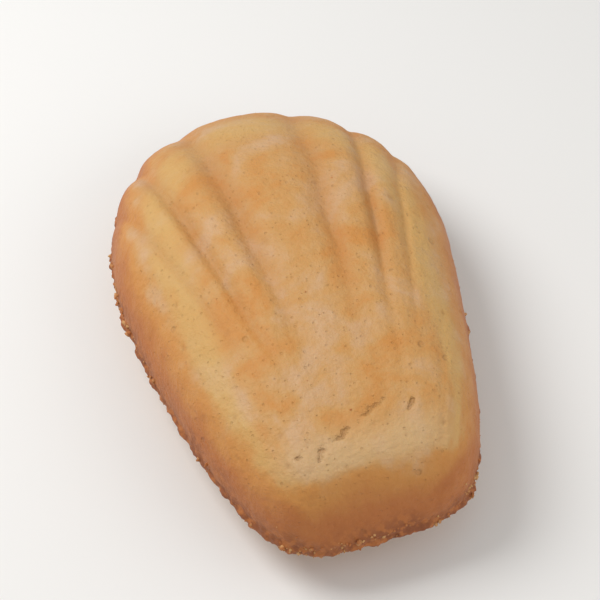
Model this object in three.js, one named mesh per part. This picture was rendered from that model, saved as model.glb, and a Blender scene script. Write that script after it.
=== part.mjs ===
// A madeleine: a small shell-shaped butter cake, lying on its domed belly with the fluted side up.
// Millimetres, +Z up. X runs across the cake and +Y runs from the blunt end to the wide, scalloped end.
// The origin is on the surface that the cake rests on, under the centre of its outline.
import * as THREE from "three";
import { mergeVertices } from "three/addons/utils/BufferGeometryUtils.js";

const { clamp, degToRad, lerp, radToDeg, smoothstep } = THREE.MathUtils;

// Driving dimensions
const LENGTH = 76;
const WIDTH = 47;
const SHELL_HEIGHT = 15; // the fluted side, above the rim
const BELLY_DEPTH = 6.5; // the domed side, below the rim
const RIM_THICKNESS = 1.1;

// Outline, seen from above, round the middle of the widest section
const WIDE_REACH = 0.44 * LENGTH; // to the scalloped end
const BLUNT_REACH = LENGTH - WIDE_REACH;
const TAPER_REACH = 1.42 * BLUNT_REACH; // where the sides would meet if the end were not cut blunt
const CORNER_SHARPNESS = 9; // of the two corners at the blunt end
const TAPER = 0.34; // how much wider the scalloped half is than the blunt half
// Slow waves of a baked edge: share of the radius, waves in a full round, and where the first one starts
const OUTLINE_WAVES = [
  { share: 0.008, count: 2, start: 0.7 },
  { share: 0.006, count: 3, start: 2.1 },
];

// Fluted side
const WALL_POWER = 2.9; // higher is a flatter face with steeper side walls
const BLUNT_WALL_POWER = 6; // the same at the blunt end, where the cake is boxier
const BOXY_FROM = 0.1; // share of the way to the blunt end where it starts to turn boxy
const BOXY_FULL = 0.9;
const FACET_WALL_POWER = 15; // over the facet, whose own slope shapes the end
const WALL_STEEPNESS = 0.5;
const WIDE_END_FALL = 0.4; // share of the height lost towards the scalloped end
const BLUNT_END_FALL = 0.32;
const FACET_SLOPE = Math.tan(degToRad(66)); // of the flat end under the blunt end's ridge
const RIDGE_SHARPNESS = 8;

// Flutes: ribs between grooves that fan out from a point behind the blunt end
const FAN_POINT = -BLUNT_REACH - 22;
const RIBS_PER_DEGREE = 0.06; // in the middle of the fan
const RIB_CROWDING = 0.008; // how much closer the ribs come for each degree towards the sides
const LAST_RIB = 3; // on each side, smooth beyond it
const LAST_GROOVE_START = LAST_RIB - 0.4; // rib numbers between which the last groove fades out
const LAST_GROOVE_END = LAST_RIB + 0.2;
const GROOVE_DEPTH = 1.4;
const GROOVE_POWER = 1.4; // lower is a wider groove
const GROOVE_ROUNDING = 0.18;
const DEEPEST_RIB = 1; // grooves inside it are at full depth
const FLANK_GROOVE_SHARE = 0.55; // depth of the last groove on a side, against the middle ones
const FLUTES_START = -0.62 * BLUNT_REACH;
const FLUTES_FULL = 0.15 * WIDE_REACH;
const SCALLOP_DEPTH = 0.6; // how far a groove bites into the outline
const SCALLOP_POWER = 5; // higher keeps the bite closer to the rim

// Domed belly, pressed flat where it rests
const BELLY_POWER = 0.85;
const PRESSED_FLAT = 1.0;

// Mesh of the skin: its columns run from the blunt end to the scalloped end
const COLUMNS = 52;
const ROWS = 40;
const SCALLOPED_ARC = degToRad(72); // half the outline that the columns end on
const BLUNT_ARC = degToRad(22); // half the outline that they start from
const MERGE_DISTANCE = 1e-4;
const NEARLY_NOTHING = 1e-6;

// Smaller of two sizes, with a rounded edge where they cross.
function softMin(a, b, sharpness) {
  const sum = Math.max(a, NEARLY_NOTHING) ** -sharpness + Math.max(b, NEARLY_NOTHING) ** -sharpness;
  return sum ** (-1 / sharpness);
}

// Larger of two sizes, with a rounded corner where they cross.
function softMax(a, b, sharpness) {
  return (a ** sharpness + b ** sharpness) ** (1 / sharpness);
}

// How far the outline stands out from its plain shape, as a share.
function unevenness(angle) {
  return OUTLINE_WAVES.reduce((sum, wave) => sum + wave.share * Math.sin(wave.count * angle + wave.start), 0);
}

// Reach of the straight cut that ends at BLUNT_REACH once it is rounded into the tapering sides.
function bluntCutReach() {
  const beyond = BLUNT_REACH ** -CORNER_SHARPNESS - TAPER_REACH ** -CORNER_SHARPNESS;
  return beyond ** (-1 / CORNER_SHARPNESS);
}

function taperAt(y) {
  return 1 + (TAPER * y) / LENGTH;
}

// Nearness, one over the distance, of the egg-shaped sides and of the straight cut at an angle.
function outlineNearness(angle) {
  const along = Math.sin(angle);
  const reach = along > 0 ? WIDE_REACH : TAPER_REACH;
  const egg = Math.hypot(Math.cos(angle) / (WIDTH / 2), along / reach);
  const cut = Math.max(-along, 0) / bluntCutReach();
  return { egg, cut };
}

// Distance to the outline before its taper.
function outlineRadius(angle) {
  const { egg, cut } = outlineNearness(angle);
  return (1 + unevenness(angle)) / softMax(egg, cut, CORNER_SHARPNESS);
}

// How much of the outline is the straight cut: 0 on the sides, 1 in the middle of the blunt end.
function cutShare(angle) {
  const { egg, cut } = outlineNearness(angle);
  return cut ** CORNER_SHARPNESS / (egg ** CORNER_SHARPNESS + cut ** CORNER_SHARPNESS);
}

function outlinePoint(angle) {
  const y = outlineRadius(angle) * Math.sin(angle);
  const x = outlineRadius(angle) * Math.cos(angle) * taperAt(y);
  return new THREE.Vector2(x, y);
}

// Angle of a point before the taper.
function outlineAngle(x, y) {
  return Math.atan2(y, x / taperAt(y));
}

// Share of the way from the middle to the outline: 0 to 1.
function towardsRim(x, y) {
  return clamp(Math.hypot(x / taperAt(y), y) / outlineRadius(outlineAngle(x, y)), 0, 1);
}

// A point of the four-sided patch that fills the outline, for across and along from 0 to 1.
function patchPoint(across, along) {
  const ahead = Math.PI / 2;
  const blunt = (share) => outlinePoint(-ahead + BLUNT_ARC * (2 * share - 1));
  const scalloped = (share) => outlinePoint(ahead - SCALLOPED_ARC * (2 * share - 1));
  const flankAngle = lerp(BLUNT_ARC - ahead, ahead - SCALLOPED_ARC, along);
  const ends = blunt(across).lerp(scalloped(across), along);
  const flanks = outlinePoint(Math.PI - flankAngle).lerp(outlinePoint(flankAngle), across);
  const bluntCorners = blunt(0).lerp(blunt(1), across);
  const scallopedCorners = scalloped(0).lerp(scalloped(1), across);
  return ends.add(flanks).sub(bluntCorners.lerp(scallopedCorners, along));
}

// Ribs counted from the middle of the fan: whole numbers are crests, halves are grooves.
function ribNumber(x, y) {
  const degrees = radToDeg(Math.atan2(x, y - FAN_POINT));
  return degrees * (RIBS_PER_DEGREE + RIB_CROWDING * Math.abs(degrees));
}

// How deep the skin is grooved at a point: 0 on a crest or a smooth part, 1 in a full groove.
function groove(x, y) {
  const rib = ribNumber(x, y);
  const fromGroove = Math.hypot(Math.cos(Math.PI * rib), GROOVE_ROUNDING);
  const section = (Math.max(0, 1 - fromGroove) / (1 - GROOVE_ROUNDING)) ** GROOVE_POWER;
  const inFan = 1 - smoothstep(Math.abs(rib), LAST_GROOVE_START, LAST_GROOVE_END);
  const alongCake = smoothstep(y, FLUTES_START, FLUTES_FULL);
  const towardsFlank = smoothstep(Math.abs(rib), DEEPEST_RIB, LAST_GROOVE_START);
  return section * inFan * alongCake * lerp(1, FLANK_GROOVE_SHARE, towardsFlank);
}

// Height of the fluted side above the rim. toRim is 0 in the middle and 1 at the rim.
function shellHeight(toRim, x, y) {
  const boxiness = smoothstep(-y / BLUNT_REACH, BOXY_FROM, BOXY_FULL);
  const sidePower = lerp(WALL_POWER, BLUNT_WALL_POWER, boxiness);
  const wallPower = lerp(sidePower, FACET_WALL_POWER, cutShare(outlineAngle(x, y)));
  const dome = (1 - toRim ** wallPower) ** WALL_STEEPNESS;
  const fall = y > 0 ? WIDE_END_FALL * (y / WIDE_REACH) ** 2 : BLUNT_END_FALL * (y / BLUNT_REACH) ** 2;
  const crown = SHELL_HEIGHT * (1 - fall) * dome;
  const facet = (y + BLUNT_REACH) * FACET_SLOPE;
  return softMin(crown, facet, RIDGE_SHARPNESS) - GROOVE_DEPTH * groove(x, y) * dome;
}

// Depth of the belly below the rim.
function bellyDepth(toRim) {
  const dome = (BELLY_DEPTH + PRESSED_FLAT) * (1 - toRim ** 2) ** BELLY_POWER;
  return Math.min(dome, BELLY_DEPTH);
}

// Evenly spaced shares from -1 to 1, moved apart in the middle and together at the walls, to 0 to 1.
function spread(share) {
  return (1 + Math.sin((Math.PI / 2) * share)) / 2;
}

// A box whose two big faces are pulled into the fluted side and the belly, and whose edge is the rim.
function madeleineGeometry() {
  const box = new THREE.BoxGeometry(2, 2, 2, COLUMNS, ROWS, 1);
  const skin = box.getAttribute("position");
  for (let i = 0; i < skin.count; i++) {
    const place = patchPoint(spread(skin.getX(i)), spread(skin.getY(i)));
    const { x, y } = place;
    const toRim = towardsRim(x, y);
    const fluted = skin.getZ(i) > 0;
    const z = fluted ? RIM_THICKNESS + shellHeight(toRim, x, y) : -bellyDepth(toRim);
    place.setLength(place.length() - SCALLOP_DEPTH * groove(x, y) * toRim ** SCALLOP_POWER);
    skin.setXYZ(i, place.x, place.y, z);
  }
  box.deleteAttribute("normal");
  box.deleteAttribute("uv");
  const closed = mergeVertices(box, MERGE_DISTANCE);
  closed.computeBoundingBox();
  const { min, max } = closed.boundingBox;
  closed.translate(-(min.x + max.x) / 2, -(min.y + max.y) / 2, -min.z);
  closed.computeVertexNormals();
  return closed;
}

const crust = new THREE.MeshStandardMaterial({ color: 0xd0a067, roughness: 0.75, metalness: 0 });

const madeleine = new THREE.Mesh(madeleineGeometry(), crust);
madeleine.name = "madeleine";

const part = new THREE.Group();
part.add(madeleine);

export default part;
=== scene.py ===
"""A madeleine: a small shell-shaped butter cake, lying on its belly with the fluted side up."""
import math
import random

import bmesh
import bpy
import numpy as np
from bpy.props import FloatProperty, FloatVectorProperty, IntProperty, PointerProperty
from mathutils import Euler, Matrix, Vector, noise


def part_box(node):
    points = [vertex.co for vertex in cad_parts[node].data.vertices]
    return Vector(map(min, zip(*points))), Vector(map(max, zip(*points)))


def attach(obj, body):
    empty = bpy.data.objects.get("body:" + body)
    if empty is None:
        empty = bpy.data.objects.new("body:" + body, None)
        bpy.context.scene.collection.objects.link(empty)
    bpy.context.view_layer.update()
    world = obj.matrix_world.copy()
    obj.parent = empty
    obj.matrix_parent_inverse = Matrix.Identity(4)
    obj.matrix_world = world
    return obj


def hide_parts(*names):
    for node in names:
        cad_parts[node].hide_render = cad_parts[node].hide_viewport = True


bl_info = {
    "name": "Madeleine",
    "version": (1, 0, 0),
    "blender": (4, 5, 0),
    "location": "View3D > Sidebar > Madeleine",
    "description": "Bakes a shell-shaped butter cake with its crumbs and sets it on a pale table",
    "category": "Object",
}

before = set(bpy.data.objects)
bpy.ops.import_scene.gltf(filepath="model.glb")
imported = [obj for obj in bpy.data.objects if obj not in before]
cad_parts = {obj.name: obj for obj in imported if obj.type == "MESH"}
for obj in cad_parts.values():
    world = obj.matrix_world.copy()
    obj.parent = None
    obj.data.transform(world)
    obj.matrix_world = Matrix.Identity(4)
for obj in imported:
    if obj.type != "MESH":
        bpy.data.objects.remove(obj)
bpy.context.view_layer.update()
CAKE_NODE = "madeleine"
BODY = "root"
MM = 0.001

# Outline, as shares of the length, seen from above round the middle of the widest section
WIDE_REACH = 0.44
BLUNT_REACH = 1 - WIDE_REACH
TAPER_REACH = 1.42 * BLUNT_REACH
CORNER_SHARPNESS = 9
TAPER = 0.34
# Slow waves of a baked edge: share of the radius, waves in a full round, and where the first one starts
OUTLINE_WAVES = ((0.008, 2, 0.7), (0.006, 3, 2.1))

# Section of the fluted side
WALL_POWER = 2.9
BLUNT_WALL_POWER = 6
BOXY_FROM = 0.1
BOXY_FULL = 0.9
FACET_WALL_POWER = 15
WALL_STEEPNESS = 0.5
WIDE_END_FALL = 0.4
BLUNT_END_FALL = 0.32
FACET_SLOPE = math.tan(math.radians(66))
RIDGE_SHARPNESS = 8

# Flutes that fan out from a point behind the blunt end
FAN_BEHIND = 22 * MM
RIBS_PER_DEGREE = 0.06
RIB_CROWDING = 0.008
LAST_RIB = 3
LAST_GROOVE_START = LAST_RIB - 0.4
LAST_GROOVE_END = LAST_RIB + 0.2
GROOVE_POWER = 1.4
GROOVE_ROUNDING = 0.18
DEEPEST_RIB = 1
FLANK_GROOVE_SHARE = 0.55
FLUTES_START = -0.62 * BLUNT_REACH
FLUTES_FULL = 0.15 * WIDE_REACH
SCALLOP_POWER = 5
RIB_WANDER = 0.07
RIB_WANDER_SIZE = 9 * MM
GROOVE_UNEVENNESS = 0.3
GROOVE_UNEVENNESS_SIZE = 12 * MM
RIPPLES_PER_RIB = 2.4
RIPPLE_LENGTH = 22 * MM

# Belly
BELLY_POWER = 0.85
PRESSED_FLAT = 1 * MM

# Skin of the cake, columns from the blunt end to the scalloped end
COLUMNS = 230
ROWS = 190
RIM_CUTS = 4
SCALLOPED_ARC = math.radians(72)
BLUNT_ARC = math.radians(22)
SEAM_POWER = 6

# Layers of noise, each a pattern of its own, half way between whole numbers, where noise is nought
HALF_WAY = 0.5
RIB_LAYER, RIPPLE_LAYER, GROOVE_LAYER, RIDGE_LAYER = 2.5, 4.5, 7.5, 11.5

# Tears in the skin near the ridge, each with its start and its end, in millimetres
SPLITS = (
    ((-9.9, -33.9), (-8.8, -34.3)),
    ((-7.0, -35.2), (-5.4, -33.6)),
    ((-4.5, -33.5), (-1.5, -32.4)),
    ((-0.7, -31.6), (4.0, -29.2)),
    ((6.3, -31.8), (7.5, -30.3)),
)
SPLIT_HALF_WIDTH = 0.4 * MM
SPLIT_WAVER = 0.4 * MM
SPLIT_WAVER_LENGTH = 1.3 * MM
SPLIT_END_TAPER = 0.35 * MM
SPLIT_LIP_PLACE = 0.9 * MM
SPLIT_LIP_HALF_WIDTH = 0.5 * MM
SPLIT_LIP_HEIGHT = 0.5
NO_SPLIT = 9 * MM

# Where the skin browns or pales, or takes painted shade or a painted highlight: millimetres over which an
# effect comes in or fades out
EDGE_HEIGHTS = (0.0, 3.0)
SHELL_WALL_HEIGHTS = (-2.0, 15.0)
BELLY_WALL_HEIGHTS = (-2.0, 3.0)
CORNER_REACHES = (3.0, 12.0)
FACET_TOP = (-1.0, 2.5)
FACET_FOOT = (2.0, 12.0)
RIDGE_START = (-2.0, 1.5)
RIDGE_FADE = (2.0, 18.0)
RIDGE_WANDER = 2.5
RIDGE_WANDER_SIZE = (6 * MM, 5 * MM)
# The same, over shares of the face's height that its rounding towards the walls takes away
CORNER_ROUNDING = (0.1, 0.45)
SHOULDER_START = (0.06, 0.2)
SHOULDER_FADE = (0.24, 0.42)
# How far each part of the blunt end is baked
FACET_TOP_BAKING = 0.35
FACET_FOOT_BAKING = 0.5
CORNER_BAKING = 0.7
# What the edge's mask is above, between the two skins
FULL_EDGE = 0.999

# Unevenness that baking leaves
LUMP_SIZE = 11 * MM
SMALL_LUMP_SIZE = 4.4 * MM
SMALL_LUMP_SHARE = 0.45
LUMP_SHIFT = Vector((5, 1, 9))
GRAIN_SIZE = 1.3 * MM
GRAIN_OCTAVES = 4
GRAIN_SOFTNESS = 0.9
GRAIN_LACUNARITY = 2.0
RIM_CRUMB_SIZE = 1.7 * MM
RIM_INWARD = 0.3
RIM_CLOSENESS = 3
LIP_BREAK_SIZE = 4 * MM
LIP_MEAN = 0.8
# Burst bubbles: spacing, reach and rarity of the small and of the wide ones
BUBBLES = ((3.1 * MM, 0.55 * MM, 0.45), (7.3 * MM, 1.1 * MM, 0.2))
CHANCE_SPREAD = 7.3
EVEN_NEAR_FLOOR = 1.5 * MM

# Crumbs: values of the edge's mask where they lie, how they gather, and forms as shares of their width
CRUMBED_EDGE, CLEAR_EDGE = 0.5, 0.1
CRUMB_CLUSTER_SIZE = 5 * MM
CRUMB_CLUSTER_LEVEL = -0.15
CRUMB_FINENESS = 4
COARSE_CRUMB = 0.8 * MM
WIDEST_STRAY = 0.5 * MM
CRUMB_SINK = 0.15
CRUMB_BREADTHS = (0.6, 1)
CRUMB_HEIGHTS = (0.45, 0.8)
CRUMB_JAGS = (-0.35, 0.3)

# Patterns of the materials: sizes of their largest features
PATCH_SIZE = 8 * MM
PORE_SIZE = 0.6 * MM
DRIFT_SIZE = 4 * MM
MOTTLE_SIZE = 1.2 * MM
BELLY_PATCH_SIZE = 3.3 * MM
SLOW_RELIEF_SIZE = 2.6 * MM
FINE_RELIEF_SIZE = 0.8 * MM
SPLIT_FRAY_SIZE = 0.8 * MM
CRUMB_PATCH_SIZE = 1.6 * MM
CRUMB_PORE_SIZE = 0.3 * MM
STREAK_LENGTH = 10 * MM
STREAK_WIDTH = 0.35  # in ribs

# Pores, specks and relief
WIDE_PORES = 4.5
SMALL_PORE_SHARE = 0.5
PORE_SOFTNESS = 0.12
PORE_RELIEF = 0.8
SLOW_RELIEF = 1.1
SPECK_RANGE = (0.58, 0.74)
RELIEF_HEIGHT = 0.35 * MM
CRUMB_RELIEF_HEIGHT = 0.08 * MM

# Colours of the skin and the crumbs: values between which one comes in, and how strongly it does
STREAK_SHARE = 0.15
DRIFT_SHARE = 0.5
HONEY_TONES = (0.46, 0.72)
BLUSH_TONES = (0.52, 0.27)
# The shoulders' colour is a painted highlight along the face's raised edges
SHOULDER_HIGHLIGHT_RANGE, SHOULDER_HIGHLIGHT_STRENGTH = (0.15, 1.1), 0.75
# The pale ridge is partly a less baked crust and partly a painted highlight
RIDGE_PALE_AND_HIGHLIGHT_RANGE, RIDGE_PALE_AND_HIGHLIGHT_STRENGTH = (0.2, 1.1), 0.85
BELLY_PALE_RANGE = (0.35, 0.7)
# The grooves darken partly from browning and partly as painted shade in the recesses
GROOVE_BROWNING_AND_SHADE_STRENGTH = 0.45
# Steep walls darken partly from browning and partly as painted shade
STEEP_BROWNING_AND_SHADE = (0.97, 0.45)
# Stages of browning; on the steep walls they carry painted shade as well
HONEY_BAKING, FLANK_BAKING, RIM_BAKING = (0.02, 0.38), (0.28, 0.76), (0.68, 1.05)
MOTTLE_RANGE = (0.46, 0.62)
SPECK_STRENGTH = 0.2
PORE_STRENGTH, RIDGE_PORE_STRENGTH = 0.15, 0.3
HOLLOW_STRENGTH = 0.3
SPLIT_STRENGTH = 0.42
SPLIT_FRAY, SPLIT_RANGE = 1.6, (0.55, -0.1)  # in millimetres from the tear's line
CRUMB_FLANK_RANGE = (0.42, 0.58)
CRUMB_SPECK_STRENGTH = 0.4

# How rough the surface is, and how much more where its patches are strongest
ROUGHNESS, PATCH_ROUGHNESS = 0.36, 0.35
CRUMB_ROUGHNESS, CRUMB_PATCH_ROUGHNESS = 0.6, 0.2

# Table and sky
FLOOR_HALF_WIDTH = 3.0
SKY_TINT = (1.0, 0.99, 0.97, 1.0)

# Lights and camera: places and widths in diagonals of the cake, from its middle
KEY_PLACE, KEY_WIDTH = Vector((-1.5, 1.0, 2.4)), 1.8
FILL_PLACE, FILL_WIDTH = Vector((2.2, -1.8, 1.6)), 3.0
CAMERA_REACHES = 3.0
CLIP_START = 10 * MM


def srgb(red, green, blue):
    """A linear colour from the 0 to 255 values of a colour picker."""
    def linear(value):
        value /= 255
        return value / 12.92 if value <= 0.04045 else ((value + 0.055) / 1.055) ** 2.4
    return linear(red), linear(green), linear(blue)


def colour(name, description, default):
    return FloatVectorProperty(name=name, description=description, default=default,
                               subtype="COLOR", size=3, min=0.0, max=1.0)


def distance(name, description, default):
    return FloatProperty(name=name, description=description, default=default,
                         subtype="DISTANCE", unit="LENGTH", min=0.0)


class MadeleineShape(bpy.types.PropertyGroup):
    """Sizes of the cake"""
    length: distance("Length", "From the blunt end to the scalloped end", 76 * MM)
    width: distance("Width", "Across the widest section", 47 * MM)
    shell_height: distance("Shell Height", "Fluted side above the rim", 15 * MM)
    belly_depth: distance("Belly Depth", "Domed side below the rim", 6.5 * MM)
    rim_thickness: distance("Rim Thickness", "Edge between the two sides", 1.1 * MM)
    groove_depth: distance("Groove Depth", "Grooves between the flutes", 1.4 * MM)
    scallop_depth: distance("Scallop Depth", "How far a groove bites into the outline", 0.6 * MM)
    lip: distance("Lip", "How far the browned rim stands proud", 0.3 * MM)
    lumps: distance("Lumps", "Slow unevenness of the skin", 0.24 * MM)
    ripples: distance("Ripples", "Faint lines that run along the flutes", 0.12 * MM)
    grain: distance("Grain", "Fine unevenness of the skin", 0.05 * MM)
    pits: distance("Pits", "Depth of the burst bubbles", 0.22 * MM)
    splits: distance("Splits", "Depth of the tears near the ridge", 0.26 * MM)
    roughness: distance("Rim Roughness", "Crumbly unevenness of the rim", 0.42 * MM)


class MadeleineCrust(bpy.types.PropertyGroup):
    """Colours of the baked skin"""
    golden: colour("Golden", "Broad face of the shell", srgb(202, 152, 91))
    honey: colour("Honey", "Warmer patches of the face", srgb(202, 139, 71))
    blush: colour("Blush", "Cooler, paler patches of the face", srgb(205, 163, 119))
    # A painted highlight along the raised shoulders round the face
    shoulder_highlight: colour("Straw", "Raised shoulders round the face", srgb(207, 166, 101))
    # Pale: on the ridge partly a less baked crust and partly a painted highlight; on the belly a paler
    # crumb
    pale: colour("Pale", "Least baked ridge at the blunt end", srgb(209, 173, 124))
    # Groove: browner crust in the grooves, partly painted shade there; also the tone of the specks
    groove: colour("Groove", "Bottom of the grooves", srgb(178, 120, 70))
    flank: colour("Flank", "Steep side walls and the blunt end", srgb(182, 110, 56))
    rim: colour("Rim", "Browned edge", srgb(146, 84, 48))
    pore: colour("Pore", "Inside of pores and tears", srgb(150, 98, 52))
    belly: colour("Belly", "Open crumb of the domed side", srgb(207, 158, 96))
    crumb: colour("Crumb", "Loose crumbs", srgb(206, 158, 102))


class MadeleineCrumbs(bpy.types.PropertyGroup):
    """Crumbs that cling to the rim"""
    amount: IntProperty(name="Amount", description="Number of crumbs on the rim", default=900, min=0)
    stray: IntProperty(name="Stray", description="Number of crumbs on the face", default=16, min=0)
    smallest: distance("Smallest", "Width of the smallest crumb", 0.22 * MM)
    largest: distance("Largest", "Width of the largest crumb", 1.0 * MM)
    seed: IntProperty(name="Seed", description="Where the crumbs fall", default=11)


class MadeleineStage(bpy.types.PropertyGroup):
    """Table, light and camera"""
    floor: colour("Floor", "Pale table", srgb(236, 235, 233))
    key: FloatProperty(name="Key", description="Soft light from the upper left", default=0.5,
                       unit="POWER", min=0.0)
    fill: FloatProperty(name="Fill", description="Soft light from the right", default=0.22,
                        unit="POWER", min=0.0)
    sky: FloatProperty(name="Sky", description="Even light from all sides", default=0.5, min=0.0)
    turn: FloatProperty(name="Turn", description="Camera's turn round the cake",
                        default=math.radians(-17), subtype="ANGLE")
    elevation: FloatProperty(name="Elevation", description="Camera's height above the horizon",
                             default=math.radians(52), subtype="ANGLE")
    lens: FloatProperty(name="Lens", description="Focal length", default=120.0,
                        subtype="DISTANCE_CAMERA", min=10.0)


def smooth_step(value, start, end):
    share = np.clip((value - start) / (end - start), 0.0, 1.0)
    return share * share * (3 - 2 * share)


def blend(start, end, share):
    return start + (end - start) * share


def soft_min(first, second, sharpness):
    """Smaller of two sizes, with a rounded edge where they cross."""
    low = 1e-9
    total = np.maximum(first, low) ** -sharpness + np.maximum(second, low) ** -sharpness
    return total ** (-1 / sharpness)


def noise_at(x, y, layer):
    """Noise of feature size 1 at flat places. Each layer is a pattern of its own."""
    return np.array([noise.noise(Vector((right, ahead, layer))) for right, ahead in zip(x, y)])


def taper_at(shape, y):
    return 1 + TAPER * y / shape.length


def outline_nearness(shape, angle):
    """One over the distance of the egg-shaped sides and of the straight cut, to a power that makes
    their sum a rounded corner."""
    along = np.sin(angle)
    reach = np.where(along > 0, WIDE_REACH, TAPER_REACH) * shape.length
    egg = np.hypot(np.cos(angle) / (shape.width / 2), along / reach)
    beyond = BLUNT_REACH ** -CORNER_SHARPNESS - TAPER_REACH ** -CORNER_SHARPNESS
    cut = np.maximum(-along, 0) / (beyond ** (-1 / CORNER_SHARPNESS) * shape.length)
    return egg ** CORNER_SHARPNESS, cut ** CORNER_SHARPNESS


def outline_radius(shape, angle):
    """Distance to the outline before its taper, from the middle of the widest section."""
    egg, cut = outline_nearness(shape, angle)
    uneven = sum(share * np.sin(count * angle + start) for share, count, start in OUTLINE_WAVES)
    return (1 + uneven) / (egg + cut) ** (1 / CORNER_SHARPNESS)


def cut_share(shape, angle):
    """How much of the outline is the straight cut: 0 on the sides, 1 in the middle of the blunt end."""
    egg, cut = outline_nearness(shape, angle)
    return cut / (egg + cut)


def outline_point(shape, angle):
    radius = outline_radius(shape, angle)
    y = radius * np.sin(angle)
    x = radius * np.cos(angle) * taper_at(shape, y)
    return np.stack([x, y], axis=-1)


def towards_rim(shape, x, y):
    """Share of the way from the middle to the outline, and the angle before the taper."""
    untapered = x / taper_at(shape, y)
    angle = np.arctan2(y, untapered)
    return np.clip(np.hypot(untapered, y) / outline_radius(shape, angle), 0.0, 1.0), angle


def patch_point(shape, across, along):
    """Points of the four-sided patch that fills the outline, for shares from 0 to 1."""
    ahead = math.pi / 2

    def blunt(share):
        return outline_point(shape, -ahead + BLUNT_ARC * (2 * share - 1))

    def scalloped(share):
        return outline_point(shape, ahead - SCALLOPED_ARC * (2 * share - 1))

    nought, one = np.zeros_like(across), np.ones_like(across)
    s, t = across[:, None], along[:, None]
    flank_angle = blend(BLUNT_ARC - ahead, ahead - SCALLOPED_ARC, along)
    left = outline_point(shape, math.pi - flank_angle)
    right = outline_point(shape, flank_angle)
    ends = blend(blunt(across), scalloped(across), t)
    corners = blend(blend(blunt(nought), blunt(one), s), blend(scalloped(nought), scalloped(one), s), t)
    return ends + blend(left, right, s) - corners


def rib_number(shape, x, y):
    """Ribs counted from the middle of the fan: whole numbers are crests, halves are grooves."""
    degrees = np.degrees(np.arctan2(x, y + BLUNT_REACH * shape.length + FAN_BEHIND))
    straight = degrees * (RIBS_PER_DEGREE + RIB_CROWDING * np.abs(degrees))
    return straight + RIB_WANDER * noise_at(x / RIB_WANDER_SIZE, y / RIB_WANDER_SIZE, RIB_LAYER)


def groove_share(shape, rib, x, y):
    """0 on a crest or a smooth part, 1 in a full groove."""
    from_groove = np.hypot(np.cos(math.pi * rib), GROOVE_ROUNDING)
    section = (np.maximum(0, 1 - from_groove) / (1 - GROOVE_ROUNDING)) ** GROOVE_POWER
    in_fan = 1 - smooth_step(np.abs(rib), LAST_GROOVE_START, LAST_GROOVE_END)
    along_cake = smooth_step(y / shape.length, FLUTES_START, FLUTES_FULL)
    towards_flank = smooth_step(np.abs(rib), DEEPEST_RIB, LAST_GROOVE_START)
    size = GROOVE_UNEVENNESS_SIZE
    uneven = 1 + GROOVE_UNEVENNESS * noise_at(x / size, y / size, GROOVE_LAYER)
    depth = blend(1, FLANK_GROOVE_SHARE, towards_flank) * uneven
    return section * in_fan * along_cake * depth


def crown_and_facet(shape, to_rim, angle, y):
    """Heights of the face and of the sloping blunt end above the rim, and the share of the face's
    height that its rounding towards the walls leaves."""
    blunt_reach = BLUNT_REACH * shape.length
    boxiness = smooth_step(-y / blunt_reach, BOXY_FROM, BOXY_FULL)
    side_power = blend(WALL_POWER, BLUNT_WALL_POWER, boxiness)
    wall_power = blend(side_power, FACET_WALL_POWER, cut_share(shape, angle))
    dome = (1 - to_rim ** wall_power) ** WALL_STEEPNESS
    wide_fall = WIDE_END_FALL * (y / (WIDE_REACH * shape.length)) ** 2
    blunt_fall = BLUNT_END_FALL * (y / blunt_reach) ** 2
    level = shape.shell_height * (1 - np.where(y > 0, wide_fall, blunt_fall))
    return level, (y + blunt_reach) * FACET_SLOPE, dome


def belly_height(shape, to_rim):
    dome = (shape.belly_depth + PRESSED_FLAT) * (1 - to_rim ** 2) ** BELLY_POWER
    return -np.minimum(dome, shape.belly_depth)


def spread(share):
    """Even shares from -1 to 1, moved apart in the middle and together at the walls."""
    return (1 + np.sin(math.pi / 2 * share)) / 2


def spread_on_belly(share, other):
    """Shares spread as on the walls where the belly meets them, and evenly inside, because the belly
    has no steep walls. The other share tells how near the seam is."""
    return blend((1 + share) / 2, spread(share), np.abs(other) ** SEAM_POWER)


def split_skin(x, y):
    """Distance to the nearest tear's wavering line, longer near its ends, and the share of a raised
    lip along its side towards the blunt end."""
    gap, lip = np.full_like(x, NO_SPLIT), np.zeros_like(x)
    for number, (start, end) in enumerate(SPLITS):
        start, end = np.array(start) * MM, np.array(end) * MM
        length = np.hypot(*(end - start))
        ahead = (end - start) / length
        forth = (x - start[0]) * ahead[0] + (y - start[1]) * ahead[1]
        aside = (x - start[0]) * ahead[1] - (y - start[1]) * ahead[0]
        level = np.full_like(x, HALF_WAY)
        aside += SPLIT_WAVER * noise_at(forth / SPLIT_WAVER_LENGTH, level, number + HALF_WAY)
        middle = np.clip(4 * forth / length * (1 - forth / length), 0, 1)
        here = np.hypot(aside, forth - np.clip(forth, 0, length)) + SPLIT_END_TAPER * (1 - middle)
        gap = np.minimum(here, gap)
        beside = (aside - SPLIT_LIP_PLACE) / SPLIT_LIP_HALF_WIDTH
        lip = np.maximum(middle * np.exp(-beside ** 2), lip)
    return gap, lip


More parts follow.
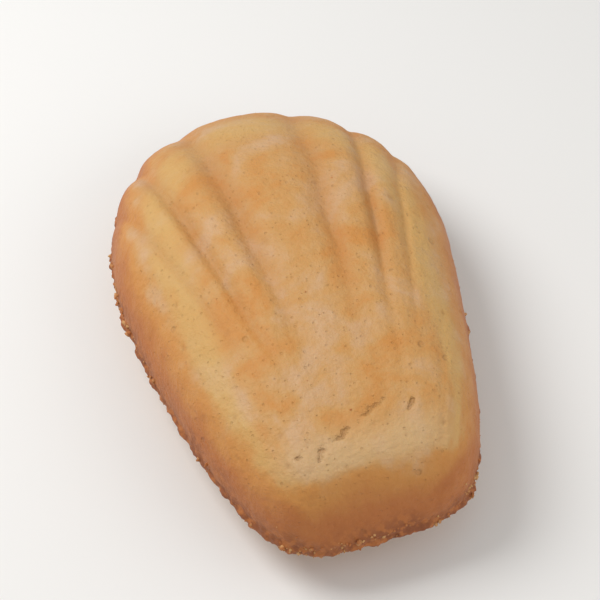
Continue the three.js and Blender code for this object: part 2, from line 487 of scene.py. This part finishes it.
def browning_masks(shape, x, y, z, surface, fluted):
    """Where the skin is browned or pale, and where painted shade and painted highlights go, from 0 to 1,
    for a surface given as crown_and_facet gives it.
    """
    level, facet, dome = surface
    wander = noise_at(x / RIDGE_WANDER_SIZE[0], y / RIDGE_WANDER_SIZE[1], RIDGE_LAYER)
    above_edge = (facet - level) / MM + RIDGE_WANDER * wander
    off_rim = (z - shape.rim_thickness if fluted else -z) / MM
    end_reach = (y + BLUNT_REACH * shape.length) / MM
    rounding = 1 - dome
    corner = (1 - smooth_step(end_reach, *CORNER_REACHES)) * smooth_step(rounding, *CORNER_ROUNDING)
    facet_baking = (FACET_TOP_BAKING * smooth_step(-above_edge, *FACET_TOP)
                    + FACET_FOOT_BAKING * smooth_step(-above_edge, *FACET_FOOT))
    # Band along the shoulders where the painted highlight goes
    shoulder_highlight_mask = smooth_step(rounding, *SHOULDER_START) * (1 - smooth_step(rounding, *SHOULDER_FADE))
    on_ridge = smooth_step(above_edge, *RIDGE_START)
    on_shell = 1.0 if fluted else 0.0
    wall_heights = SHELL_WALL_HEIGHTS if fluted else BELLY_WALL_HEIGHTS
    return {
        "edge": 1 - smooth_step(off_rim, *EDGE_HEIGHTS),
        "wall": 1 - smooth_step(off_rim, *wall_heights),
        "shoulder_highlight_mask": shoulder_highlight_mask * on_ridge * on_shell,
        "blunt_end": np.maximum(facet_baking, CORNER_BAKING * corner) * on_shell,
        "ridge": on_ridge * (1 - smooth_step(above_edge, *RIDGE_FADE)) * dome ** 2,
    }


def add_skin(cake, shape, masks, fluted):
    """Pulls a grid into the fluted side or the belly, with the masks that its material reads."""
    grid = bmesh.ops.create_grid(cake, x_segments=COLUMNS, y_segments=ROWS, size=1.0)
    skin = grid["verts"]
    across, along = np.array([vert.co[:2] for vert in skin]).T
    if fluted:
        point = patch_point(shape, spread(across), spread(along))
    else:
        point = patch_point(shape, spread_on_belly(across, along), spread_on_belly(along, across))
    x, y = point[:, 0], point[:, 1]
    to_rim, angle = towards_rim(shape, x, y)
    rib = rib_number(shape, x, y)
    groove = groove_share(shape, rib, x, y)
    level, facet, dome = crown_and_facet(shape, to_rim, angle, y)
    gap, lip = split_skin(x, y)
    if fluted:
        z = shape.rim_thickness + soft_min(level * dome, facet, RIDGE_SHARPNESS)
        z -= shape.groove_depth * groove * dome
        z += shape.ripples * dome * noise_at(rib * RIPPLES_PER_RIB, y / RIPPLE_LENGTH, RIPPLE_LAYER)
        z += shape.splits * (SPLIT_LIP_HEIGHT * lip - np.exp(-(gap / SPLIT_HALF_WIDTH) ** 2))
    else:
        z = belly_height(shape, to_rim)
        for face in {face for vert in skin for face in vert.link_faces}:
            face.normal_flip()
    bite = shape.scallop_depth * groove * to_rim ** SCALLOP_POWER
    inward = 1 - bite / np.maximum(np.hypot(x, y), MM)
    values = {
        "groove": groove if fluted else np.zeros_like(x),
        "rib": rib,
        "underside": np.full_like(x, 0.0 if fluted else 1.0),
        "hollow": np.zeros_like(x),
        "split_gap": gap / MM if fluted else np.full_like(x, NO_SPLIT / MM),
        **browning_masks(shape, x, y, z, (level, facet, dome), fluted),
    }
    for index, vert in enumerate(skin):
        vert.co = (x[index] * inward[index], y[index] * inward[index], z[index])
        for name, layer in masks.items():
            vert[layer] = values[name][index]


def join_rim(cake, shape, masks):
    """Closes the gap between the two skins with a rounded, broken lip."""
    open_edges = [edge for edge in cake.edges if edge.is_boundary]
    wall = bmesh.ops.bridge_loops(cake, edges=open_edges)["faces"]
    wall_faces = set(wall)
    upright = [edge for edge in {edge for face in wall for edge in face.edges}
               if all(face in wall_faces for face in edge.link_faces)]
    bmesh.ops.subdivide_edges(cake, edges=upright, cuts=RIM_CUTS)
    cake.normal_update()
    for vert in cake.verts:
        height = vert.co.z / shape.rim_thickness
        if 0 < height < 1 and vert[masks["edge"]] > FULL_EDGE:
            broken = LIP_MEAN + noise.noise(vert.co / LIP_BREAK_SIZE)
            vert.co += vert.normal * shape.lip * broken * math.sin(math.pi * height)


def fine_noise(point, size):
    return noise.fractal(point / size, GRAIN_SOFTNESS, GRAIN_LACUNARITY, GRAIN_OCTAVES,
                         noise_basis="PERLIN_ORIGINAL")


def dent(point, spacing, reach, rarity):
    """Depth of scattered round dents, 0 to 1. Rarity -1 dents every cell and 1 dents none."""
    near, centres = noise.voronoi(point / spacing)
    if noise.cell(centres[0] * CHANCE_SPREAD) < rarity:
        return 0.0
    share = max(0.0, 1 - near[0] * spacing / reach)
    return share * share * (3 - 2 * share)


def roughen(cake, shape, masks):
    """Pushes the skin in and out as baking leaves it, along its normals and level at the rim."""
    cake.normal_update()
    low = min(vert.co.z for vert in cake.verts)
    moves = []
    for vert in cake.verts:
        point = vert.co
        edge = vert[masks["edge"]] ** RIM_CLOSENESS
        under = vert[masks["underside"]]
        small_lumps = SMALL_LUMP_SHARE * noise.noise(point / SMALL_LUMP_SIZE + LUMP_SHIFT)
        lumps = noise.noise(point / LUMP_SIZE) + small_lumps
        grain = fine_noise(point, GRAIN_SIZE) * (1 + under)
        crumbly = (fine_noise(point, RIM_CRUMB_SIZE) - RIM_INWARD) * edge
        bubbles = max(dent(point, *kind) for kind in BUBBLES) * (1 + under)
        vert[masks["hollow"]] = min(1.0, bubbles)
        move = shape.lumps * lumps + shape.grain * grain + shape.roughness * crumbly
        move -= shape.pits * bubbles
        outward = Vector((vert.normal.x, vert.normal.y, vert.normal.z * (1 - edge))).normalized()
        moves.append(outward * move * min(1.0, (point.z - low) / EVEN_NEAR_FLOOR))
    for vert, move in zip(cake.verts, moves):
        vert.co += move


def set_in_frame(cake):
    """Centres the outline over the origin and rests the belly on the floor, as the frame has it."""
    low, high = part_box(CAKE_NODE)
    own_low = Vector([min(vert.co[axis] for vert in cake.verts) for axis in range(3)])
    own_high = Vector([max(vert.co[axis] for vert in cake.verts) for axis in range(3)])
    shift = (low + high) / 2 - (own_low + own_high) / 2
    shift.z = low.z - own_low.z
    bmesh.ops.translate(cake, vec=shift, verts=cake.verts)


def finish_piece(name, cake, material):
    """Makes a smooth-shaded object of a bmesh, riding on the cake's body."""
    mesh = bpy.data.meshes.new(name)
    for face in cake.faces:
        face.smooth = True
    cake.to_mesh(mesh)
    cake.free()
    piece = bpy.data.objects.new(name, mesh)
    bpy.context.collection.objects.link(piece)
    mesh.materials.append(material)
    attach(piece, BODY)
    return piece


class NodeMaker:
    """Adds nodes to a tree, setting or linking each named input."""

    def __init__(self, tree):
        self.tree = tree

    def add(self, kind, settings=None, **inputs):
        node = self.tree.nodes.new(kind)
        for name, value in (settings or {}).items():
            setattr(node, name, value)
        for name, value in inputs.items():
            self.feed(node.inputs[name.replace("_", " ")], value)
        return node

    def feed(self, socket, value):
        if isinstance(value, bpy.types.NodeSocket):
            self.tree.links.new(value, socket)
        elif socket.type == "RGBA" and len(value) == 3:
            socket.default_value = (*value, 1.0)
        else:
            socket.default_value = value

    def mask(self, name):
        return self.add("ShaderNodeAttribute", {"attribute_name": name}).outputs["Fac"]

    def maths(self, operation, first, second=0.0):
        node = self.tree.nodes.new("ShaderNodeMath")
        node.operation = operation
        self.feed(node.inputs[0], first)
        self.feed(node.inputs[1], second)
        return node.outputs[0]

    def mix(self, share, first, second):
        node = self.tree.nodes.new("ShaderNodeMix")
        node.data_type = "RGBA"
        node.clamp_factor = True
        sockets = {socket.name: socket for socket in node.inputs if socket.enabled}
        self.feed(sockets["Factor"], share)
        self.feed(sockets["A"], first)
        self.feed(sockets["B"], second)
        return next(socket for socket in node.outputs if socket.enabled)

    def steps(self, value, start, end):
        """A smooth change from 0 at one value to 1 at another, which may be the smaller one."""
        node = self.add("ShaderNodeMapRange", {"interpolation_type": "SMOOTHSTEP"}, Value=value)
        node.inputs["From Min"].default_value = start
        node.inputs["From Max"].default_value = end
        return node.outputs["Result"]

    def scale(self, size):
        return self.maths("DIVIDE", 1.0, size) if isinstance(size, bpy.types.NodeSocket) else 1 / size

    def times(self, value, factor):
        return self.maths("MULTIPLY", value, factor)

    def noise(self, place, size, detail=3.0, roughness=0.55, distortion=0.0):
        """Noise round 0.5, with its largest features of a size."""
        return self.add("ShaderNodeTexNoise", Vector=place, Scale=self.scale(size), Detail=detail,
                        Roughness=roughness, Distortion=distortion).outputs["Fac"]

    def holes(self, place, size, widest, rarity):
        """Round holes of mixed widths, one in each cell. A higher rarity leaves fewer wide ones."""
        cells = self.add("ShaderNodeTexVoronoi", Vector=place, Scale=self.scale(size))
        chance = self.add("ShaderNodeSeparateColor", Color=cells.outputs["Color"]).outputs["Red"]
        width = self.times(self.maths("POWER", chance, rarity), widest)
        return self.steps(self.maths("SUBTRACT", width, cells.outputs["Distance"]), 0.0, PORE_SOFTNESS)


def baked_grain():
    """Node group: browning patches, specks, pores of many widths and fine relief."""
    group = bpy.data.node_groups.new("Baked Grain", "ShaderNodeTree")
    for name, size in (("Patch Size", PATCH_SIZE), ("Pore Size", PORE_SIZE)):
        socket = group.interface.new_socket(name, in_out="INPUT", socket_type="NodeSocketFloat")
        socket.default_value = size
    for name in ("Patches", "Specks", "Pores", "Height"):
        group.interface.new_socket(name, in_out="OUTPUT", socket_type="NodeSocketFloat")
    maker = NodeMaker(group)
    given = maker.add("NodeGroupInput").outputs
    place = maker.add("ShaderNodeTexCoord").outputs["Object"]
    patches = maker.noise(place, given["Patch Size"], detail=4.0, distortion=0.6)
    specks = maker.steps(maker.noise(place, given["Pore Size"]), *SPECK_RANGE)
    small = maker.holes(place, given["Pore Size"], widest=0.36, rarity=3.0)
    wide = maker.holes(place, maker.times(given["Pore Size"], WIDE_PORES), widest=0.26, rarity=6.0)
    pores = maker.maths("MAXIMUM", maker.times(small, SMALL_PORE_SHARE), wide)
    slow = maker.times(maker.noise(place, SLOW_RELIEF_SIZE, detail=2.0), SLOW_RELIEF)
    crumb = maker.maths("ADD", maker.noise(place, FINE_RELIEF_SIZE, detail=5.0, roughness=0.62), slow)
    height = maker.maths("SUBTRACT", crumb, maker.times(pores, PORE_RELIEF))
    result = maker.add("NodeGroupOutput")
    for name, value in (("Patches", patches), ("Specks", specks), ("Pores", pores), ("Height", height)):
        maker.feed(result.inputs[name], value)
    return group


def shader(material):
    material.use_nodes = True
    tree = material.node_tree
    principled = next(node for node in tree.nodes if node.type == "BSDF_PRINCIPLED")
    return NodeMaker(tree), principled


def add_grain(maker, patch_size, pore_size):
    group = bpy.data.node_groups.get("Baked Grain") or baked_grain()
    node = maker.add("ShaderNodeGroup", {"node_tree": group})
    node.inputs["Patch Size"].default_value = patch_size
    node.inputs["Pore Size"].default_value = pore_size
    return node.outputs


def around_zero(maker, value):
    return maker.maths("SUBTRACT", value, 0.5)


def flute_streaks(maker, place):
    """Faint long marks that follow the flutes."""
    along = maker.add("ShaderNodeSeparateXYZ", Vector=place).outputs["Y"]
    fan = maker.add("ShaderNodeCombineXYZ", X=maker.mask("rib"),
                    Y=maker.times(along, STREAK_WIDTH / STREAK_LENGTH))
    return around_zero(maker, maker.noise(fan.outputs["Vector"], STREAK_WIDTH))


def split_line(maker, place):
    """Soft dark line of uneven width along each tear."""
    fray = maker.times(around_zero(maker, maker.noise(place, SPLIT_FRAY_SIZE)), SPLIT_FRAY)
    return maker.steps(maker.maths("ADD", maker.mask("split_gap"), fray), *SPLIT_RANGE)


def unbaked_colour(maker, look, place, tone, drift):
    """The golden face with its patches, the painted highlight on its shoulders, its ridge of paler crust
    with a painted highlight, its grooves browner and with painted shade, and the belly's open crumb.
    """
    face = maker.mix(maker.steps(tone, *HONEY_TONES), look.golden, look.honey)
    face = maker.mix(maker.steps(tone, *BLUSH_TONES), face, look.blush)
    # Painted highlight along the shoulders
    bright = maker.steps(maker.maths("ADD", maker.mask("shoulder_highlight_mask"), drift), *SHOULDER_HIGHLIGHT_RANGE)
    face = maker.mix(maker.times(bright, SHOULDER_HIGHLIGHT_STRENGTH), face, look.shoulder_highlight)
    # Pale ridge: partly less baked crust, partly a painted highlight
    pale_and_highlighted = maker.steps(maker.maths("ADD", maker.mask("ridge"), drift), *RIDGE_PALE_AND_HIGHLIGHT_RANGE)
    face = maker.mix(maker.times(pale_and_highlighted, RIDGE_PALE_AND_HIGHLIGHT_STRENGTH), face, look.pale)
    # Grooves darker: partly browning, partly painted shade
    face = maker.mix(maker.times(maker.mask("groove"), GROOVE_BROWNING_AND_SHADE_STRENGTH), face, look.groove)
    patches = maker.noise(place, BELLY_PATCH_SIZE, detail=4.0)
    belly = maker.mix(maker.steps(patches, *BELLY_PALE_RANGE), look.belly, look.pale)
    return maker.mix(maker.mask("underside"), face, belly)


def brown(maker, look, place, drift, skin):
    """Browns the skin on its steep walls, at the blunt end and at the rim; on the steep walls this is
    partly painted shade.
    """
    normal = maker.add("ShaderNodeNewGeometry").outputs["Normal"]
    upward = maker.add("ShaderNodeSeparateXYZ", Vector=normal).outputs["Z"]
    # Walls that face away from the sky are browner: partly real browning, partly painted shade
    baking = maker.times(maker.steps(upward, *STEEP_BROWNING_AND_SHADE), maker.mask("wall"))
    for name in ("blunt_end", "edge"):
        baking = maker.maths("MAXIMUM", baking, maker.mask(name))
    baking = maker.maths("ADD", baking, maker.times(drift, DRIFT_SHARE))
    mottling = maker.steps(maker.noise(place, MOTTLE_SIZE), *MOTTLE_RANGE)
    mottled = maker.mix(mottling, look.rim, look.flank)
    for reach, shade in ((HONEY_BAKING, look.honey), (FLANK_BAKING, look.flank), (RIM_BAKING, mottled)):
        skin = maker.mix(maker.steps(baking, *reach), skin, shade)
    return skin


def darkness(maker, grain, line):
    """How much darker the pores, the burst bubbles and the tears are."""
    ridge_pores = maker.times(maker.mask("ridge"), RIDGE_PORE_STRENGTH)
    pores = maker.times(grain["Pores"], maker.maths("ADD", ridge_pores, PORE_STRENGTH))
    holes = maker.maths("MAXIMUM", pores, maker.times(maker.mask("hollow"), HOLLOW_STRENGTH))
    return maker.maths("MAXIMUM", holes, maker.times(line, SPLIT_STRENGTH))


def crust_material(look):
    """Golden skin, browner in the grooves, on the flanks and at the rim, with painted shade in the grooves
    and on the steep walls and painted highlights on the shoulders and the ridge.
    """
    material = bpy.data.materials.new("golden_crust")
    maker, principled = shader(material)
    grain = add_grain(maker, PATCH_SIZE, PORE_SIZE)
    place = maker.add("ShaderNodeTexCoord").outputs["Object"]
    drift = around_zero(maker, maker.noise(place, DRIFT_SIZE, detail=4.0))
    tone = maker.maths("ADD", grain["Patches"], maker.times(flute_streaks(maker, place), STREAK_SHARE))
    tone = maker.maths("ADD", tone, maker.times(drift, DRIFT_SHARE))
    skin = brown(maker, look, place, drift, unbaked_colour(maker, look, place, tone, drift))
    skin = maker.mix(maker.times(grain["Specks"], SPECK_STRENGTH), skin, look.groove)
    line = split_line(maker, place)
    maker.feed(principled.inputs["Base Color"], maker.mix(darkness(maker, grain, line), skin, look.pore))
    roughness = maker.maths("ADD", maker.times(tone, PATCH_ROUGHNESS), ROUGHNESS)
    maker.feed(principled.inputs["Roughness"], roughness)
    relief = maker.maths("SUBTRACT", grain["Height"], line)
    bump = maker.add("ShaderNodeBump", Height=relief, Strength=0.8, Distance=RELIEF_HEIGHT)
    maker.feed(principled.inputs["Normal"], bump.outputs["Normal"])
    principled.inputs["Specular IOR Level"].default_value = 0.35
    principled.inputs["Subsurface Weight"].default_value = 0.08
    principled.inputs["Subsurface Radius"].default_value = (1.0, 0.55, 0.25)
    principled.inputs["Subsurface Scale"].default_value = 1.2 * MM
    return material


def crumb_material(look):
    """Open golden crumb in the mixed tones of skin and rim."""
    material = bpy.data.materials.new("golden_crumb")
    maker, principled = shader(material)
    grain = add_grain(maker, CRUMB_PATCH_SIZE, CRUMB_PORE_SIZE)
    shade = maker.mix(maker.steps(grain["Patches"], *CRUMB_FLANK_RANGE), look.crumb, look.flank)
    shade = maker.mix(maker.times(grain["Specks"], CRUMB_SPECK_STRENGTH), shade, look.rim)
    maker.feed(principled.inputs["Base Color"], shade)
    uneven = maker.times(grain["Patches"], CRUMB_PATCH_ROUGHNESS)
    maker.feed(principled.inputs["Roughness"], maker.maths("ADD", uneven, CRUMB_ROUGHNESS))
    bump = maker.add("ShaderNodeBump", Height=grain["Height"], Strength=0.5, Distance=CRUMB_RELIEF_HEIGHT)
    maker.feed(principled.inputs["Normal"], bump.outputs["Normal"])
    return material


def floor_material(floor):
    material = bpy.data.materials.new("pale_table")
    maker, principled = shader(material)
    maker.feed(principled.inputs["Base Color"], floor)
    principled.inputs["Roughness"].default_value = 0.9
    principled.inputs["Specular IOR Level"].default_value = 0.1
    return material


class MADELEINE_OT_cake(bpy.types.Operator):
    """Bake the cake with its flutes, ridge, rim and belly"""
    bl_idname = "madeleine.cake"
    bl_label = "Bake Cake"

    def execute(self, context):
        shape = context.scene.madeleine_shape
        cake = bmesh.new()
        names = ("groove", "rib", "edge", "wall", "shoulder_highlight_mask", "blunt_end", "ridge", "underside",
                 "hollow", "split_gap")
        masks = {name: cake.verts.layers.float.new(name) for name in names}
        for fluted in (True, False):
            add_skin(cake, shape, masks, fluted)
        join_rim(cake, shape, masks)
        roughen(cake, shape, masks)
        set_in_frame(cake)
        piece = finish_piece("cake", cake, crust_material(context.scene.madeleine_crust))
        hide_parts(CAKE_NODE)
        return {"FINISHED"}


def add_crumb(crumbs, draw, vert, width):
    """An angular bit of cake, sunk into the skin at one of its vertices."""
    centre = vert.co + vert.normal * width * draw.uniform(-CRUMB_SINK, CRUMB_SINK)
    turn = Euler([draw.uniform(0, math.tau) for _ in range(3)]).to_matrix().to_4x4()
    squash = Matrix.Diagonal((1, draw.uniform(*CRUMB_BREADTHS), draw.uniform(*CRUMB_HEIGHTS), 1))
    ball = bmesh.ops.create_icosphere(crumbs, subdivisions=2 if width > COARSE_CRUMB else 1,
                                      radius=width / 2, matrix=Matrix.Translation(centre) @ turn @ squash)
    for corner in ball["verts"]:
        corner.co += (corner.co - centre) * draw.uniform(*CRUMB_JAGS)


class MADELEINE_OT_crumbs(bpy.types.Operator):
    """Dust the rim with crumbs"""
    bl_idname = "madeleine.crumbs"
    bl_label = "Add Crumbs"

    def execute(self, context):
        settings = context.scene.madeleine_crumbs
        cake = bpy.data.objects["cake"].data
        draw = random.Random(settings.seed)
        edge = cake.attributes["edge"].data
        under = cake.attributes["underside"].data
        rim = [vert for vert in cake.vertices if edge[vert.index].value > CRUMBED_EDGE
               and noise.noise(vert.co / CRUMB_CLUSTER_SIZE) > CRUMB_CLUSTER_LEVEL]
        face = [vert for vert in cake.vertices if edge[vert.index].value < CLEAR_EDGE
                and not under[vert.index].value]
        crumbs = bmesh.new()
        for number in range(settings.amount + settings.stray):
            clinging = number < settings.amount
            width = blend(settings.smallest, settings.largest, draw.random() ** CRUMB_FINENESS)
            if not clinging:
                width = min(width, WIDEST_STRAY)
            add_crumb(crumbs, draw, draw.choice(rim if clinging else face), width)
        finish_piece("crumbs", crumbs, crumb_material(context.scene.madeleine_crust))
        return {"FINISHED"}


class MADELEINE_OT_stage(bpy.types.Operator):
    """Set the pale table, the soft lights and the camera"""
    bl_idname = "madeleine.stage"
    bl_label = "Set Stage"

    def execute(self, context):
        stage = context.scene.madeleine_stage
        low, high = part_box(CAKE_NODE)
        middle = (low + high) / 2
        add_floor(stage, low.z)
        reach = (high - low).length
        add_light("key", stage.key, middle + KEY_PLACE * reach, middle, KEY_WIDTH * reach)
        add_light("fill", stage.fill, middle + FILL_PLACE * reach, middle, FILL_WIDTH * reach)
        add_sky(stage.sky)
        add_camera(stage, middle, reach)
        context.scene.view_settings.view_transform = "Standard"
        return {"FINISHED"}


def add_floor(stage, height):
    floor = bmesh.new()
    bmesh.ops.create_grid(floor, x_segments=1, y_segments=1, size=FLOOR_HALF_WIDTH)
    bmesh.ops.translate(floor, vec=(0, 0, height), verts=floor.verts)
    mesh = bpy.data.meshes.new("table")
    floor.to_mesh(mesh)
    floor.free()
    table = bpy.data.objects.new("table", mesh)
    bpy.context.collection.objects.link(table)
    mesh.materials.append(floor_material(stage.floor))


def aim(thing, place, target):
    thing.location = place
    thing.rotation_euler = (target - place).to_track_quat("-Z", "Y").to_euler()


def add_light(name, power, place, target, size):
    data = bpy.data.lights.new(name, "AREA")
    data.energy = power
    data.shape = "DISK"
    data.size = size
    light = bpy.data.objects.new(name, data)
    bpy.context.collection.objects.link(light)
    aim(light, place, target)


def add_sky(strength):
    world = bpy.data.worlds.new("soft_room")
    world.use_nodes = True
    background = next(node for node in world.node_tree.nodes if node.type == "BACKGROUND")
    background.inputs["Color"].default_value = SKY_TINT
    background.inputs["Strength"].default_value = strength
    bpy.context.scene.world = world


def add_camera(stage, middle, reach):
    data = bpy.data.cameras.new("camera")
    data.lens = stage.lens
    camera = bpy.data.objects.new("camera", data)
    bpy.context.collection.objects.link(camera)
    level = math.cos(stage.elevation)
    back = Vector((math.sin(stage.turn) * level, -math.cos(stage.turn) * level, math.sin(stage.elevation)))
    aim(camera, middle + back * reach * CAMERA_REACHES, middle)
    data.clip_start = CLIP_START
    bpy.context.scene.camera = camera


class MADELEINE_PT_panel(bpy.types.Panel):
    """Sizes, colours and steps of the madeleine"""
    bl_label = "Madeleine"
    bl_idname = "MADELEINE_PT_panel"
    bl_space_type = "VIEW_3D"
    bl_region_type = "UI"
    bl_category = "Madeleine"

    def draw(self, context):
        steps = (
            ("madeleine_shape", "madeleine.cake"),
            ("madeleine_crust", None),
            ("madeleine_crumbs", "madeleine.crumbs"),
            ("madeleine_stage", "madeleine.stage"),
        )
        for group_name, operator in steps:
            box = self.layout.box()
            group = getattr(context.scene, group_name)
            for name in group.__annotations__:
                box.prop(group, name)
            if operator:
                box.operator(operator)


GROUPS = {
    "madeleine_shape": MadeleineShape,
    "madeleine_crust": MadeleineCrust,
    "madeleine_crumbs": MadeleineCrumbs,
    "madeleine_stage": MadeleineStage,
}
CLASSES = (*GROUPS.values(), MADELEINE_OT_cake, MADELEINE_OT_crumbs, MADELEINE_OT_stage, MADELEINE_PT_panel)


def register():
    for each in CLASSES:
        bpy.utils.register_class(each)
    for name, group in GROUPS.items():
        setattr(bpy.types.Scene, name, PointerProperty(type=group))


def unregister():
    for name in GROUPS:
        delattr(bpy.types.Scene, name)
    for each in reversed(CLASSES):
        bpy.utils.unregister_class(each)


def main():
    register()
    bpy.ops.madeleine.cake()
    bpy.ops.madeleine.crumbs()
    bpy.ops.madeleine.stage()


if __name__ == "__main__":
    main()
